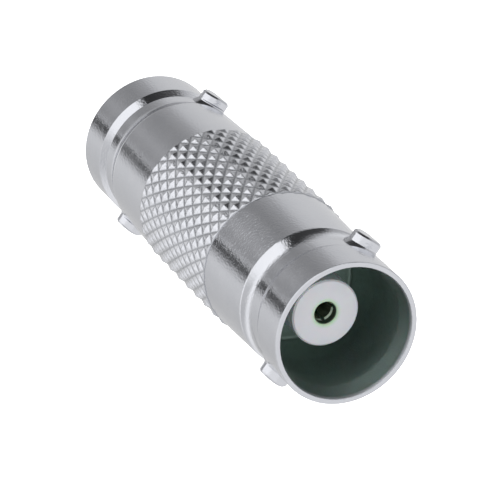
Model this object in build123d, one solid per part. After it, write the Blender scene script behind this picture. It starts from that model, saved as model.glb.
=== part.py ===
from build123d import *
import os
from math import cos, pi, radians, sin, tan

# In-line coaxial coupler with a bayonet jack at each end, in millimetres.
# It stands on its lower rim: origin at the rim's centre, +Z along the coupler to the upper mouth.
# The two ends are the same turned pieces, one turned over. Depths are measured from an end face.

# Overall
LENGTH = 33.5

# Barrel and mouth of each jack shell
BARREL_D = 9.65
RIM_BEVEL = 0.06
MOUTH_D = 9.00
LIP_D = 8.80
LIP_DEPTH = 0.34
BORE_D = 8.50
ENTRY_DEPTH = 1.50
BORE_DEPTH = 3.20
SEAT_D = 8.12
SEAT_TAPER = 2.00
FLOOR_DEPTH = 8.36
FLOOR_THICKNESS = 1.40

# Neck that is milled away round the bayonet lugs, and the collar behind it, a little thicker at the grip
NECK_DEPTH_FROM_FACE = 2.78
NECK_WIDTH = 2.78
NECK_D = 9.15
NECK_RAMP = 0.68
COLLAR_RAMP = 1.20
EDGE_BREAK = 0.06
COLLAR_D = 9.76
COLLAR_GRIP_D = 10.08

# Bayonet lugs
LUG_D = 2.03
LUG_SPAN = 11.02
LUG_DEPTH_FROM_FACE = 4.12
LUG_FOOT_BEVEL = 0.30
LUG_TIP_BEVEL = 0.12
LUG_ROOT = 0.25

# Knurled sleeve
GRIP_LENGTH = 11.25
KNURL_D = 10.37
KNURL_GROOVE_DEPTH = 0.13
KNURL_TEETH = 34
KNURL_PITCH = 1.50
KNURL_RUN_OUT = 0.12
SLEEVE_WALL = 0.935
SLEEVE_FIT = 0.01

# Insulators
NOSE_D = 4.52
NOSE_SETBACK = 3.25
NOSE_BEVEL = 0.10
NOSE_FIT = 0.02
INSULATOR_BODY_D = 6.60
BODY_FIT = 0.03
ENTRY_HOLE_D = 1.46
ENTRY_HOLE_BEVEL = 0.10
ENTRY_THICKNESS = 0.55

# Centre contact
CONTACT_D = 2.13
SOCKET_D = 1.38
SOCKET_DEPTH = 5.40
SOCKET_LEAD_IN = 0.12
DRILL_POINT_ANGLE = 118
SLOT_WIDTH = 0.22
SLOT_LENGTH = 4.60
SLOT_COUNT = 2
SLOT_TURN = 45
CONTACT_SETBACK = 0.08
FINGER_ROOM = 0.07
CONTACT_COLLAR_D = 3.40
CONTACT_COLLAR_LENGTH = 1.60
CONTACT_COLLAR_FIT = 0.02

# Heights over the lower rim, and one diameter, that follow from the sizes above
MIDDLE_Z = LENGTH / 2
FLOOR_Z = LENGTH - FLOOR_DEPTH
FLOOR_BACK_Z = FLOOR_Z - FLOOR_THICKNESS
SHOULDER_Z = MIDDLE_Z + GRIP_LENGTH / 2
SPIGOT_D = KNURL_D - 2 * SLEEVE_WALL
NECK_TOP_Z = LENGTH - NECK_DEPTH_FROM_FACE
NECK_LOW_Z = NECK_TOP_Z - NECK_WIDTH
LUG_Z = LENGTH - LUG_DEPTH_FROM_FACE
NOSE_Z = LENGTH - NOSE_SETBACK
CONTACT_TOP_Z = NOSE_Z - ENTRY_THICKNESS - CONTACT_SETBACK
COLLAR_TOP_Z = MIDDLE_Z + CONTACT_COLLAR_LENGTH / 2


def turned(outline):
    """Solid of revolution about Z, from (radius, height) corners; a third number bevels its corner."""
    points = []
    for index, (radius, height, *bevel) in enumerate(outline):
        here = Vector(radius, 0, height)
        if not bevel:
            points.append(here)
            continue
        for neighbour in (outline[index - 1], outline[(index + 1) % len(outline)]):
            towards = Vector(neighbour[0], 0, neighbour[1]) - here
            points.append(here + towards.normalized() * bevel[0])
    return revolve(Face(Wire.make_polygon(points)), Axis.Z)


def turned_over(shape):
    """The same piece at the lower end, turned half a turn about X."""
    return Location((0, 0, LENGTH), (180, 0, 0)) * shape


def shell_blank():
    """Jack shell before its lugs: mouth, barrel, neck, collar, spigot and insulator pocket."""
    pocket_r = INSULATOR_BODY_D / 2 + BODY_FIT
    nose_hole_r = NOSE_D / 2 + NOSE_FIT
    return turned([
        (MOUTH_D / 2, LENGTH),
        (BARREL_D / 2, LENGTH, RIM_BEVEL),
        (BARREL_D / 2, NECK_TOP_Z),
        (NECK_D / 2, NECK_TOP_Z - NECK_RAMP),
        (NECK_D / 2, NECK_LOW_Z + COLLAR_RAMP),
        (COLLAR_D / 2, NECK_LOW_Z, EDGE_BREAK),
        (COLLAR_GRIP_D / 2, SHOULDER_Z),
        (SPIGOT_D / 2, SHOULDER_Z),
        (SPIGOT_D / 2, MIDDLE_Z),
        (pocket_r, MIDDLE_Z),
        (pocket_r, FLOOR_BACK_Z),
        (nose_hole_r, FLOOR_BACK_Z),
        (nose_hole_r, FLOOR_Z),
        (SEAT_D / 2, FLOOR_Z),
        (SEAT_D / 2, LENGTH - BORE_DEPTH - SEAT_TAPER),
        (BORE_D / 2, LENGTH - BORE_DEPTH),
        (BORE_D / 2, LENGTH - ENTRY_DEPTH),
        (LIP_D / 2, LENGTH - LIP_DEPTH),
    ])


def is_round_lug(edge, radius):
    """True for an edge that runs round a lug at about this radius from the coupler's axis."""
    for step in range(5):
        point = edge.position_at(step / 4)
        from_lug_axis = (point.Y ** 2 + (point.Z - LUG_Z) ** 2) ** 0.5
        from_axis = (point.X ** 2 + point.Y ** 2) ** 0.5
        if abs(from_lug_axis - LUG_D / 2) > 0.001 or abs(from_axis - radius) > LUG_ROOT / 2:
            return False
    return True


def lug_pair():
    """Two round lugs on a thin band of the neck, their feet blended into it."""
    band_width = 2 * LUG_D
    most_bevel = (LUG_SPAN - NECK_D) / 5
    bar = Cylinder(LUG_D / 2, LUG_SPAN + LUG_D, rotation=(0, 90, 0))
    turned_tip = Cylinder(LUG_SPAN / 2, band_width)
    band = Pos(0, 0, LUG_Z) * (Cylinder(NECK_D / 2, band_width) + (bar & turned_tip))
    tips = [edge for edge in band.edges() if is_round_lug(edge, LUG_SPAN / 2)]
    band = chamfer(tips, min(LUG_TIP_BEVEL, most_bevel))
    feet = [edge for edge in band.edges() if is_round_lug(edge, NECK_D / 2)]
    band = chamfer(feet, min(LUG_FOOT_BEVEL, most_bevel))
    return band - Pos(0, 0, LUG_Z) * Cylinder(NECK_D / 2 - LUG_ROOT, band_width)


def jack_shell():
    """One-piece shell with its two lugs."""
    return shell_blank() + lug_pair()


def knurl_corner(row, step, rows):
    """Corner where two crossing grooves meet; odd rows are shifted by half a tooth."""
    angle = 2 * pi * (step + (row % 2) / 2) / KNURL_TEETH
    radius = KNURL_D / 2 - KNURL_GROOVE_DEPTH
    height = MIDDLE_Z - GRIP_LENGTH / 2 + GRIP_LENGTH * row / rows
    return Vector(radius * cos(angle), radius * sin(angle), height)


def knurl_peak(row, step, rows):
    """Point of one diamond; in the end rows it is set in by the run-out, on the slope to the next."""
    angle = 2 * pi * (step + ((row + 1) % 2) / 2) / KNURL_TEETH
    radius = KNURL_D / 2
    height = MIDDLE_Z - GRIP_LENGTH / 2 + GRIP_LENGTH * row / rows
    if row in (0, rows):
        inward = 1 if row == 0 else -1
        height += inward * KNURL_RUN_OUT
        radius -= KNURL_GROOVE_DEPTH * KNURL_RUN_OUT / (GRIP_LENGTH / rows)
    return Vector(radius * cos(angle), radius * sin(angle), height)


def diamond(row, step, rows):
    """Facets of one raised diamond, from its point to the corners round it."""
    shift = 1 if row % 2 == 0 else 0
    left = knurl_corner(row, step, rows) if shift else knurl_corner(row, step - 1, rows)
    right = knurl_corner(row, step + 1, rows) if shift else knurl_corner(row, step, rows)
    peak = knurl_peak(row, step, rows)
    if row == 0:
        ring = [left, right, knurl_corner(row + 1, step, rows)]
    elif row == rows:
        ring = [left, knurl_corner(row - 1, step, rows), right]
    else:
        ring = [left, knurl_corner(row - 1, step, rows), right, knurl_corner(row + 1, step, rows)]
    following = ring[1:] + ring[:1]
    return [Face(Wire.make_polygon([peak, start, end])) for start, end in zip(ring, following)]


def knurled_blank():
    """Closed solid with a lattice of raised diamonds, as crossing knurl grooves leave it."""
    rows = max(2, round(2 * GRIP_LENGTH / KNURL_PITCH))
    facets = []
    for row in range(rows + 1):
        for step in range(KNURL_TEETH):
            facets += diamond(row, step, rows)
    for row in (0, rows):
        rim = [knurl_corner(row, step, rows) for step in range(KNURL_TEETH)]
        facets.append(Face(Wire.make_polygon(rim)))
    return Solid(Shell(facets))


def knurled_sleeve():
    """Knurled grip with a plain bore that is pressed over both spigots."""
    bore = Pos(0, 0, MIDDLE_Z) * Cylinder(SPIGOT_D / 2 + SLEEVE_FIT, 2 * GRIP_LENGTH)
    return knurled_blank() - bore


def insulator():
    """White insulator: long nose in the mouth, wide body behind the shell's floor, stepped bore."""
    nose_r = NOSE_D / 2
    body_r = INSULATOR_BODY_D / 2
    entry_r = ENTRY_HOLE_D / 2
    finger_bore_r = CONTACT_D / 2 + FINGER_ROOM
    collar_pocket_r = CONTACT_COLLAR_D / 2 + CONTACT_COLLAR_FIT
    return turned([
        (entry_r, NOSE_Z, ENTRY_HOLE_BEVEL),
        (nose_r, NOSE_Z, NOSE_BEVEL),
        (nose_r, FLOOR_BACK_Z),
        (body_r, FLOOR_BACK_Z),
        (body_r, MIDDLE_Z),
        (collar_pocket_r, MIDDLE_Z),
        (collar_pocket_r, COLLAR_TOP_Z),
        (finger_bore_r, COLLAR_TOP_Z),
        (finger_bore_r, NOSE_Z - ENTRY_THICKNESS),
        (entry_r, NOSE_Z - ENTRY_THICKNESS),
    ])


def contact_half():
    """Upper half of the contact: drilled, slotted socket fingers and half of the middle collar."""
    drill_point = SOCKET_D / 2 / tan(radians(DRILL_POINT_ANGLE / 2))
    half = turned([
        (0, MIDDLE_Z),
        (CONTACT_COLLAR_D / 2, MIDDLE_Z),
        (CONTACT_COLLAR_D / 2, COLLAR_TOP_Z),
        (CONTACT_D / 2, COLLAR_TOP_Z),
        (CONTACT_D / 2, CONTACT_TOP_Z),
        (SOCKET_D / 2, CONTACT_TOP_Z, SOCKET_LEAD_IN),
        (SOCKET_D / 2, CONTACT_TOP_Z - SOCKET_DEPTH),
        (0, CONTACT_TOP_Z - SOCKET_DEPTH - drill_point),
    ])
    for turn in range(SLOT_COUNT):
        saw = Box(2 * CONTACT_D, SLOT_WIDTH, 2 * SLOT_LENGTH)
        half -= Pos(0, 0, CONTACT_TOP_Z) * Rot(0, 0, SLOT_TURN + 180 * turn / SLOT_COUNT) * saw
    return half


def centre_contact():
    """Double-ended socket contact, slotted at both ends so that its fingers spring."""
    upper = contact_half()
    return upper + turned_over(upper)


def main():
    os.makedirs("parts", exist_ok=True)
    shell = jack_shell()
    core = insulator()
    export_step(shell, "parts/jack_shell_top.step")
    export_step(turned_over(shell), "parts/jack_shell_bottom.step")
    export_step(knurled_sleeve(), "parts/knurled_sleeve.step")
    export_step(core, "parts/insulator_top.step")
    export_step(turned_over(core), "parts/insulator_bottom.step")
    export_step(centre_contact(), "parts/centre_contact.step")


main()
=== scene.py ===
from math import cos, radians, sin

import bpy
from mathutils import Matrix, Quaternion, Vector


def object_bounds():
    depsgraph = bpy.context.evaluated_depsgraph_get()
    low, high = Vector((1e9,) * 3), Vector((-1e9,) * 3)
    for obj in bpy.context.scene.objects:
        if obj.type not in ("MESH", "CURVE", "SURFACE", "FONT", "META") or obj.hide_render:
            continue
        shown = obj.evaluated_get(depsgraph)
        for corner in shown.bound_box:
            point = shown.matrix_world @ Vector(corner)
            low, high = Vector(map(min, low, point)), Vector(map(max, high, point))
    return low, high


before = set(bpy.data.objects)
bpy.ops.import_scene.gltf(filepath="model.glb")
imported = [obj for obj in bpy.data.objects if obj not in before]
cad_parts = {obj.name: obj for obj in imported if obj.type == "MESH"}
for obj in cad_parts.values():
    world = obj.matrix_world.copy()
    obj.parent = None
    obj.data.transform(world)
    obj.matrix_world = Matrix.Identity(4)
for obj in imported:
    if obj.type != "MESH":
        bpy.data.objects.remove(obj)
cad_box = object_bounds()

# Metres in a millimetre. Sizes in this script are in millimetres, and angles in degrees.
MM = 0.001
LENGTH = cad_box[1][2] / MM

# Camera, where the photographer's stood: a long lens that looks down into the upper mouth.
# Headings run from +X towards +Y, and elevations up from level.
CAMERA_HEADING = 77.60
CAMERA_ELEVATION = 57.21
CAMERA_DISTANCE = 256.19
CAMERA_AIM = (-0.717, -0.823, 17.367)
CAMERA_ROLL = 134.69
CAMERA_LENS = 280.8
CAMERA_NEAR = 1

# Floor and backdrop, over-exposed to plain white as in the photo
WHITE = "FFFFFF"
FLOOR_SIDE = 4000
FLOOR_GLOW = 1.0
FLOOR_ROUGHNESS = 0.9

# What the bright plating mirrors: rings of soft light and dark cloth round the coupler, one over
# another. Each ring holds (heading, brightness). RING_STEPS are the elevations over which one ring
# gives way to the next, from straight below upwards.
HEADING_START = -90
FULL_TURN = 360
RING_BELOW = [
    (-90, 0.70), (-52, 0.40), (-24, 0.34), (5, 0.40), (30, 0.52), (60, 0.58), (110, 0.60),
    (135, 0.90), (180, 1.10), (250, 1.00),
]
RING_SIDE = [
    (-90, 0.80), (-60, 0.76), (-20, 0.78), (2, 0.72), (17, 0.46), (40, 0.33), (62, 0.36), (78, 0.46),
    (98, 0.37), (106, 0.44), (108, 0.95), (111, 0.08), (122, 0.08), (128, 0.50), (137, 0.84),
    (175, 0.70), (200, 0.64), (230, 0.66), (269, 0.80),
]
RING_KNURL = [
    (-90, 0.95), (-50, 1.00), (-25, 1.00), (-8, 0.84), (4, 0.56), (14, 0.34), (26, 0.14), (34, 0.05),
    (47, 0.05), (57, 1.45), (130, 1.35), (150, 1.20), (180, 1.20), (215, 1.00), (250, 0.90),
]
RING_LEVEL = [
    (-90, 0.80), (-10, 0.55), (2, 0.08), (46, 0.04), (57, 1.40), (100, 1.35), (120, 0.80),
    (150, 0.70), (250, 0.95),
]
RING_ABOVE = [(-90, 0.98), (-50, 1.08), (180, 1.08), (225, 0.98)]
RING_STEPS = ((-76, -60), (-52, -42), (-38, -24), (5, 35))

# Colours, each the pair between which a surface varies, or a single one
NICKEL = ("C9CBD1", "D2D3D8")
# Painted shade, greenish grey, down the bore below its bright lip
BORE_SHADE = "93A39D"
# Grime with painted shade at the bottom of the knurl's grooves
KNURL_GRIME_AND_SHADE = "B2B4B9"
ACETAL = ("E0E0E6", "E8E8EE")
# Painted green reflection of the tarnished contact, on the acetal round the entry hole
ACETAL_GREEN_REFLECTION = "C6E4C6"
# Painted shade inside the entry hole
ACETAL_HOLE_SHADE = "3C4A3D"
SILVER = ("B4C6B0", "D0DCCB")

# Roughness of bright plating from its clearest patch to its cloudiest, and of the other surfaces
PLATE_ROUGHNESS = (0.09, 0.15)
BORE_ROUGHNESS = 0.42
GROOVE_ROUGHNESS = 0.25
ACETAL_ROUGHNESS = 0.42
SILVER_ROUGHNESS = 0.42

# Widths of one patch, grain or ring of each pattern. The first two are as wide as on the real part.
# The others are too fine there to show in the render, so they are drawn as coarse as they need to show:
# the plating's grain is about 0.03 wide, the lathe's rings about 0.05 and the mould's marks about 0.05.
CLOUD_WIDTH = 1.25
SILVER_CLOUD_WIDTH = 2 / 3
GRAIN_WIDTH = 1 / 7
LATHE_RING_WIDTH = 0.2
MOULD_MARK_WIDTH = 0.25

# How far those patterns stand up from the surface
GRAIN_HEIGHT = 0.012
LATHE_RING_HEIGHT = 0.0015
MOULD_MARK_HEIGHT = 0.004

# Radii to which handling and plating have rounded the edges
SHELL_EDGE = 0.04
BORE_EDGE = 0.40
KNURL_EDGE = 0.15
CONTACT_EDGE = 0.04
EDGE_SAMPLES = 6

# Light that soaks into the insulator
SOAK_SHARE = 0.3
SOAK_DEPTH = 0.4

# Spans over which one look gives way to another, as distances from the axis or depths under the end face
CLOUD_SPAN = {"From Min": 0.3, "From Max": 0.7}
BORE_WALL = {"From Min": 4.54, "From Max": 4.44}
# Depths under the end face over which the bore's painted shade sets in below the bright lip
BRIGHT_LIP = {"From Min": 0.16, "From Max": 0.36}
# Radii over which the knurl's grooves take grime with painted shade and turn matt
GROOVE_FLOOR = {"From Min": 5.09, "From Max": 5.06}
# Radii over which the painted green reflection sets in round the entry hole
GREEN_REFLECTION_RING = {"From Min": 1.10, "From Max": 0.78}
# Radii over which the entry hole's painted shade sets in
ENTRY_HOLE = {"From Min": 0.78, "From Max": 0.75}

# Cove between the neck's floor and the collar: where its ramp runs, how much wider the collar's radius
# is than the neck's, and the spans that keep it off the bore and off the lugs
COVE_RAMP = {"From Min": 4.36, "From Max": 5.50}
COVE_RISE = 0.305
COVE_OFF_BORE = {"From Min": 4.40, "From Max": 4.50}
COVE_OFF_LUGS = {"From Min": 4.98, "From Max": 4.92}

# Sockets of a Mix node: its share, then the two numbers or colours that it mixes, and what comes out
SHARE = 0
NUMBER_A, NUMBER_B = 2, 3
COLOUR_A, COLOUR_B, COLOUR_OUT = 6, 7, 2


def linear(code):
    """Linear colour of an sRGB hex value, with alpha."""
    values = [int(code[i:i + 2], 16) / 255 for i in (0, 2, 4)]
    return [v / 12.92 if v <= 0.04045 else ((v + 0.055) / 1.055) ** 2.4 for v in values] + [1.0]


def add(tree, kind, inputs=None, output=0, **settings):
    """Adds a node and gives one output. An input takes a value, a hex colour or another node's output."""
    node = tree.nodes.new("ShaderNode" + kind)
    for name, value in settings.items():
        setattr(node, name, value)
    for name, value in (inputs or {}).items():
        if isinstance(value, bpy.types.NodeSocket):
            tree.links.new(value, node.inputs[name])
        else:
            node.inputs[name].default_value = linear(value) if isinstance(value, str) else value
    return node.outputs[output] if node.outputs else None


def new_material(name):
    """An empty node material and its tree."""
    material = bpy.data.materials.new(name)
    material.use_nodes = True
    material.node_tree.nodes.clear()
    return material, material.node_tree


def place_on_part(tree):
    """Place in the part's own frame."""
    spot = add(tree, "TexCoord", output="Object")
    return add(tree, "VectorMath", {0: spot, "Scale": 1 / MM}, operation="SCALE")


def off_the_axis(tree, place):
    """Distance from the part's axis."""
    flat = add(tree, "VectorMath", {0: place, 1: (1, 1, 0)}, operation="MULTIPLY")
    return add(tree, "VectorMath", {0: flat}, output="Value", operation="LENGTH")


def along_the_axis(tree, place):
    """Height above the lower rim, and depth under the nearer end face."""
    height = add(tree, "SeparateXYZ", {0: place}, output="Z")
    over_middle = add(tree, "Math", {0: height, 1: LENGTH / 2}, operation="SUBTRACT")
    off_middle = add(tree, "Math", {0: over_middle}, operation="ABSOLUTE")
    return height, add(tree, "Math", {0: LENGTH / 2, 1: off_middle}, operation="SUBTRACT")


def nickel(name, hollows, dirt_and_shade, hollow_roughness, edge, hollow_edge, shaping=None):
    """Bright nickel plate on machined brass.

    It mirrors its surroundings a little blurred, with faint clouds, a fine grain and the lathe's rings
    under it. Hollows gives the share of the surface that takes a darker colour, painted shade down a
    bore and grime with painted shade in a knurl's grooves, and the share that is matt.
    """
    material, tree = new_material(name)
    place = place_on_part(tree)
    radius = off_the_axis(tree, place)
    height, depth = along_the_axis(tree, place)
    dirt_and_shade_share, matt = hollows(tree, radius, depth)

    cloud = add(tree, "TexNoise", {"Vector": place, "Scale": 1 / CLOUD_WIDTH, "Detail": 4.0})
    clean = add(tree, "Mix", {SHARE: cloud, COLOUR_A: NICKEL[0], COLOUR_B: NICKEL[1]}, COLOUR_OUT,
                data_type="RGBA")
    # Hollows take a darker colour: painted shade down the bore, grime with painted shade in the knurl's
    # grooves
    colour = add(tree, "Mix", {SHARE: dirt_and_shade_share, COLOUR_A: clean, COLOUR_B: dirt_and_shade}, COLOUR_OUT,
                 data_type="RGBA")
    clear, cloudy = PLATE_ROUGHNESS
    dulled = add(tree, "MapRange", {"Value": cloud, **CLOUD_SPAN, "To Min": clear, "To Max": cloudy})
    roughness = add(tree, "Mix", {SHARE: matt, NUMBER_A: dulled, NUMBER_B: hollow_roughness})

    rounding = add(tree, "Mix", {SHARE: matt, NUMBER_A: edge * MM, NUMBER_B: hollow_edge * MM})
    normal = add(tree, "Bevel", {"Radius": rounding}, samples=EDGE_SAMPLES)
    if shaping:
        normal = add(tree, "Bump", {"Height": shaping(tree, radius, depth), "Normal": normal,
                                    "Distance": MM})
    profile = add(tree, "CombineXYZ", {"X": radius, "Z": height})
    rings = add(tree, "TexNoise", {"Vector": profile, "Scale": 1 / LATHE_RING_WIDTH, "Detail": 3.0})
    normal = add(tree, "Bump", {"Height": rings, "Normal": normal, "Strength": 0.3,
                                "Distance": LATHE_RING_HEIGHT * MM})
    grain = add(tree, "TexNoise", {"Vector": place, "Scale": 1 / GRAIN_WIDTH, "Detail": 2.0})
    normal = add(tree, "Bump", {"Height": grain, "Normal": normal, "Strength": 1.0,
                                "Distance": GRAIN_HEIGHT * MM})

    shader = add(tree, "BsdfPrincipled", {"Base Color": colour, "Metallic": 1.0,
                                          "Roughness": roughness, "Normal": normal})
    add(tree, "OutputMaterial", {"Surface": shader})
    return material


def bore_hollows(tree, radius, depth):
    """Shares of a shell that are painted shade and matt: its bore is matt all over, and painted dark as
    shade below the bright lip.
    """
    inside = add(tree, "MapRange", {"Value": radius, **BORE_WALL}, interpolation_type="SMOOTHSTEP")
    # Painted shade darkens the bore from a little under its lip downwards
    shaded_below_lip = add(tree, "MapRange", {"Value": depth, **BRIGHT_LIP}, interpolation_type="SMOOTHSTEP")
    return add(tree, "Math", {0: inside, 1: shaded_below_lip}, operation="MULTIPLY"), inside


def knurl_hollows(tree, radius, depth):
    """Shares of the knurl that carry grime with painted shade, and that are matt: both only at the bottom
    of its grooves, where grime stays and shade falls.
    """
    groove = add(tree, "MapRange", {"Value": radius, **GROOVE_FLOOR}, interpolation_type="SMOOTHSTEP")
    return groove, groove


def cove(tree, radius, depth):
    """Height that hollows the collar's straight ramp into the cove that a round-nosed tool leaves."""
    along = add(tree, "MapRange", {"Value": depth, **COVE_RAMP})
    left = add(tree, "Math", {0: along, 1: 1.0}, operation="SUBTRACT")
    sag = add(tree, "Math", {0: left, 1: along}, operation="MULTIPLY")
    off_bore = add(tree, "MapRange", {"Value": radius, **COVE_OFF_BORE}, interpolation_type="SMOOTHSTEP")
    off_lugs = add(tree, "MapRange", {"Value": radius, **COVE_OFF_LUGS}, interpolation_type="SMOOTHSTEP")
    for share in (COVE_RISE, off_bore, off_lugs):
        sag = add(tree, "Math", {0: sag, 1: share}, operation="MULTIPLY")
    return sag


def white_acetal():
    """Moulded white acetal of the insulators.

    It looks waxy, with faint mould marks. Towards its entry hole it carries a painted green reflection of
    the tarnished contact, and then painted shade down the hole.
    """
    material, tree = new_material("moulded_white_acetal")
    place = place_on_part(tree)
    radius = off_the_axis(tree, place)
    cloud = add(tree, "TexNoise", {"Vector": place, "Scale": 1 / CLOUD_WIDTH})
    face = add(tree, "Mix", {SHARE: cloud, COLOUR_A: ACETAL[0], COLOUR_B: ACETAL[1]}, COLOUR_OUT,
               data_type="RGBA")
    # Painted green reflection of the contact round the entry hole
    near_hole = add(tree, "MapRange", {"Value": radius, **GREEN_REFLECTION_RING}, interpolation_type="SMOOTHSTEP")
    with_green_reflection = add(tree, "Mix", {SHARE: near_hole, COLOUR_A: face, COLOUR_B: ACETAL_GREEN_REFLECTION}, COLOUR_OUT,
                 data_type="RGBA")
    # Painted shade down the entry hole
    in_hole = add(tree, "MapRange", {"Value": radius, **ENTRY_HOLE}, interpolation_type="SMOOTHSTEP")
    colour = add(tree, "Mix", {SHARE: in_hole, COLOUR_A: with_green_reflection, COLOUR_B: ACETAL_HOLE_SHADE}, COLOUR_OUT,
                 data_type="RGBA")
    marks = add(tree, "TexNoise", {"Vector": place, "Scale": 1 / MOULD_MARK_WIDTH, "Detail": 3.0})
    normal = add(tree, "Bump", {"Height": marks, "Strength": 0.2, "Distance": MOULD_MARK_HEIGHT * MM})
    shader = add(tree, "BsdfPrincipled", {
        "Base Color": colour, "Roughness": ACETAL_ROUGHNESS, "Subsurface Weight": SOAK_SHARE,
        "Subsurface Scale": SOAK_DEPTH * MM, "Normal": normal})
    add(tree, "OutputMaterial", {"Surface": shader})
    return material


def silver_plate():
    """Silver plate on the machined contact: satin grey, in patches greenish with tarnish."""
    material, tree = new_material("silver_plated_machined_brass")
    place = place_on_part(tree)
    cloud = add(tree, "TexNoise", {"Vector": place, "Scale": 1 / SILVER_CLOUD_WIDTH})
    colour = add(tree, "Mix", {SHARE: cloud, COLOUR_A: SILVER[0], COLOUR_B: SILVER[1]}, COLOUR_OUT,
                 data_type="RGBA")
    normal = add(tree, "Bevel", {"Radius": CONTACT_EDGE * MM}, samples=EDGE_SAMPLES)
    shader = add(tree, "BsdfPrincipled", {"Base Color": colour, "Metallic": 1.0,
                                          "Roughness": SILVER_ROUGHNESS, "Normal": normal})
    add(tree, "OutputMaterial", {"Surface": shader})
    return material


def ring(tree, turn, stops):
    """Light of one ring. Turn is the share of a full turn from HEADING_START."""
    light = add(tree, "ValToRGB", {"Fac": turn})
    elements = light.node.color_ramp.elements
    while len(elements) > 1:
        elements.remove(elements[0])
    for index, (heading, brightness) in enumerate(stops):
        position = (heading - HEADING_START) / FULL_TURN
        element = elements[0] if index == 0 else elements.new(position)
        element.position = position
        element.color = (brightness, brightness, brightness, 1.0)
    return light


def looked_in(tree):
    """Direction that is looked in: its share of a full turn from HEADING_START, and its elevation."""
    spot = add(tree, "TexCoord", output="Generated")
    x, y, z = add(tree, "SeparateXYZ", {0: spot}).node.outputs
    angle = add(tree, "Math", {0: y, 1: x}, operation="ARCTAN2")
    heading = add(tree, "Math", {0: angle}, operation="DEGREES")
    past_start = add(tree, "Math", {0: heading, 1: HEADING_START}, operation="SUBTRACT")
    wrapped = add(tree, "Math", {0: past_start, 1: FULL_TURN}, operation="FLOORED_MODULO")
    turn = add(tree, "Math", {0: wrapped, 1: FULL_TURN}, operation="DIVIDE")
    rise = add(tree, "Math", {0: z}, operation="ARCSINE")
    return turn, add(tree, "Math", {0: rise}, operation="DEGREES")


def studio():
    """Lights the coupler with the rings, and shows a plain white backdrop behind it."""
    world = bpy.data.worlds.new("studio")
    bpy.context.scene.world = world
    world.use_nodes = True
    tree = world.node_tree
    tree.nodes.clear()
    turn, elevation = looked_in(tree)
    colour = ring(tree, turn, RING_BELOW)
    for (low, high), stops in zip(RING_STEPS, (RING_SIDE, RING_KNURL, RING_LEVEL, RING_ABOVE)):
        upper_share = add(tree, "MapRange", {"Value": elevation, "From Min": low, "From Max": high},
                          interpolation_type="SMOOTHSTEP")
        colour = add(tree, "Mix", {SHARE: upper_share, COLOUR_A: colour,
                                   COLOUR_B: ring(tree, turn, stops)}, COLOUR_OUT, data_type="RGBA")
    light = add(tree, "Background", {"Color": colour})
    backdrop = add(tree, "Background", {"Color": WHITE})
    seen = add(tree, "LightPath", output="Is Camera Ray")
    shown = add(tree, "MixShader", {0: seen, 1: light, 2: backdrop})
    add(tree, "OutputWorld", {"Surface": shown})
    bpy.context.scene.view_settings.view_transform = "Standard"


def floor():
    """Plain white floor that the plating doesn't mirror, so that the rings below level show in it."""
    mesh = bpy.data.meshes.new("floor")
    half = FLOOR_SIDE / 2 * MM
    corners = [(-half, -half, 0), (half, -half, 0), (half, half, 0), (-half, half, 0)]
    mesh.from_pydata(corners, [], [(0, 1, 2, 3)])
    piece = bpy.data.objects.new("floor", mesh)
    bpy.context.scene.collection.objects.link(piece)
    material, tree = new_material("pale_floor")
    shader = add(tree, "BsdfPrincipled", {
        "Base Color": WHITE, "Roughness": FLOOR_ROUGHNESS, "Emission Color": WHITE,
        "Emission Strength": FLOOR_GLOW})
    add(tree, "OutputMaterial", {"Surface": shader})
    mesh.materials.append(material)
    piece.visible_glossy = False


def camera():
    """Places the photographer's camera."""
    data = bpy.data.cameras.new("camera")
    data.lens = CAMERA_LENS
    data.clip_start = CAMERA_NEAR * MM
    heading, elevation = radians(CAMERA_HEADING), radians(CAMERA_ELEVATION)
    back = Vector((cos(heading) * cos(elevation), sin(heading) * cos(elevation), sin(elevation)))
    thing = bpy.data.objects.new("camera", data)
    bpy.context.scene.collection.objects.link(thing)
    thing.location = (Vector(CAMERA_AIM) + back * CAMERA_DISTANCE) * MM
    thing.rotation_mode = "QUATERNION"
    level = (-back).to_track_quat("-Z", "Y")
    thing.rotation_quaternion = level @ Quaternion((0, 0, 1), radians(CAMERA_ROLL))
    bpy.context.scene.camera = thing


def dress(names, material):
    """Gives CAD nodes their material."""
    for name in names:
        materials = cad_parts[name].data.materials
        materials.clear()
        materials.append(material)


camera()
studio()
floor()
dress(["jack_shell_top", "jack_shell_bottom"],
      nickel("bright_nickel_on_turned_brass", bore_hollows, BORE_SHADE, BORE_ROUGHNESS,
             SHELL_EDGE, BORE_EDGE, cove))
dress(["knurled_sleeve"],
      nickel("bright_nickel_on_knurled_brass", knurl_hollows, KNURL_GRIME_AND_SHADE, GROOVE_ROUGHNESS,
             KNURL_EDGE, KNURL_EDGE))
dress(["insulator_top", "insulator_bottom"], white_acetal())
dress(["centre_contact"], silver_plate())
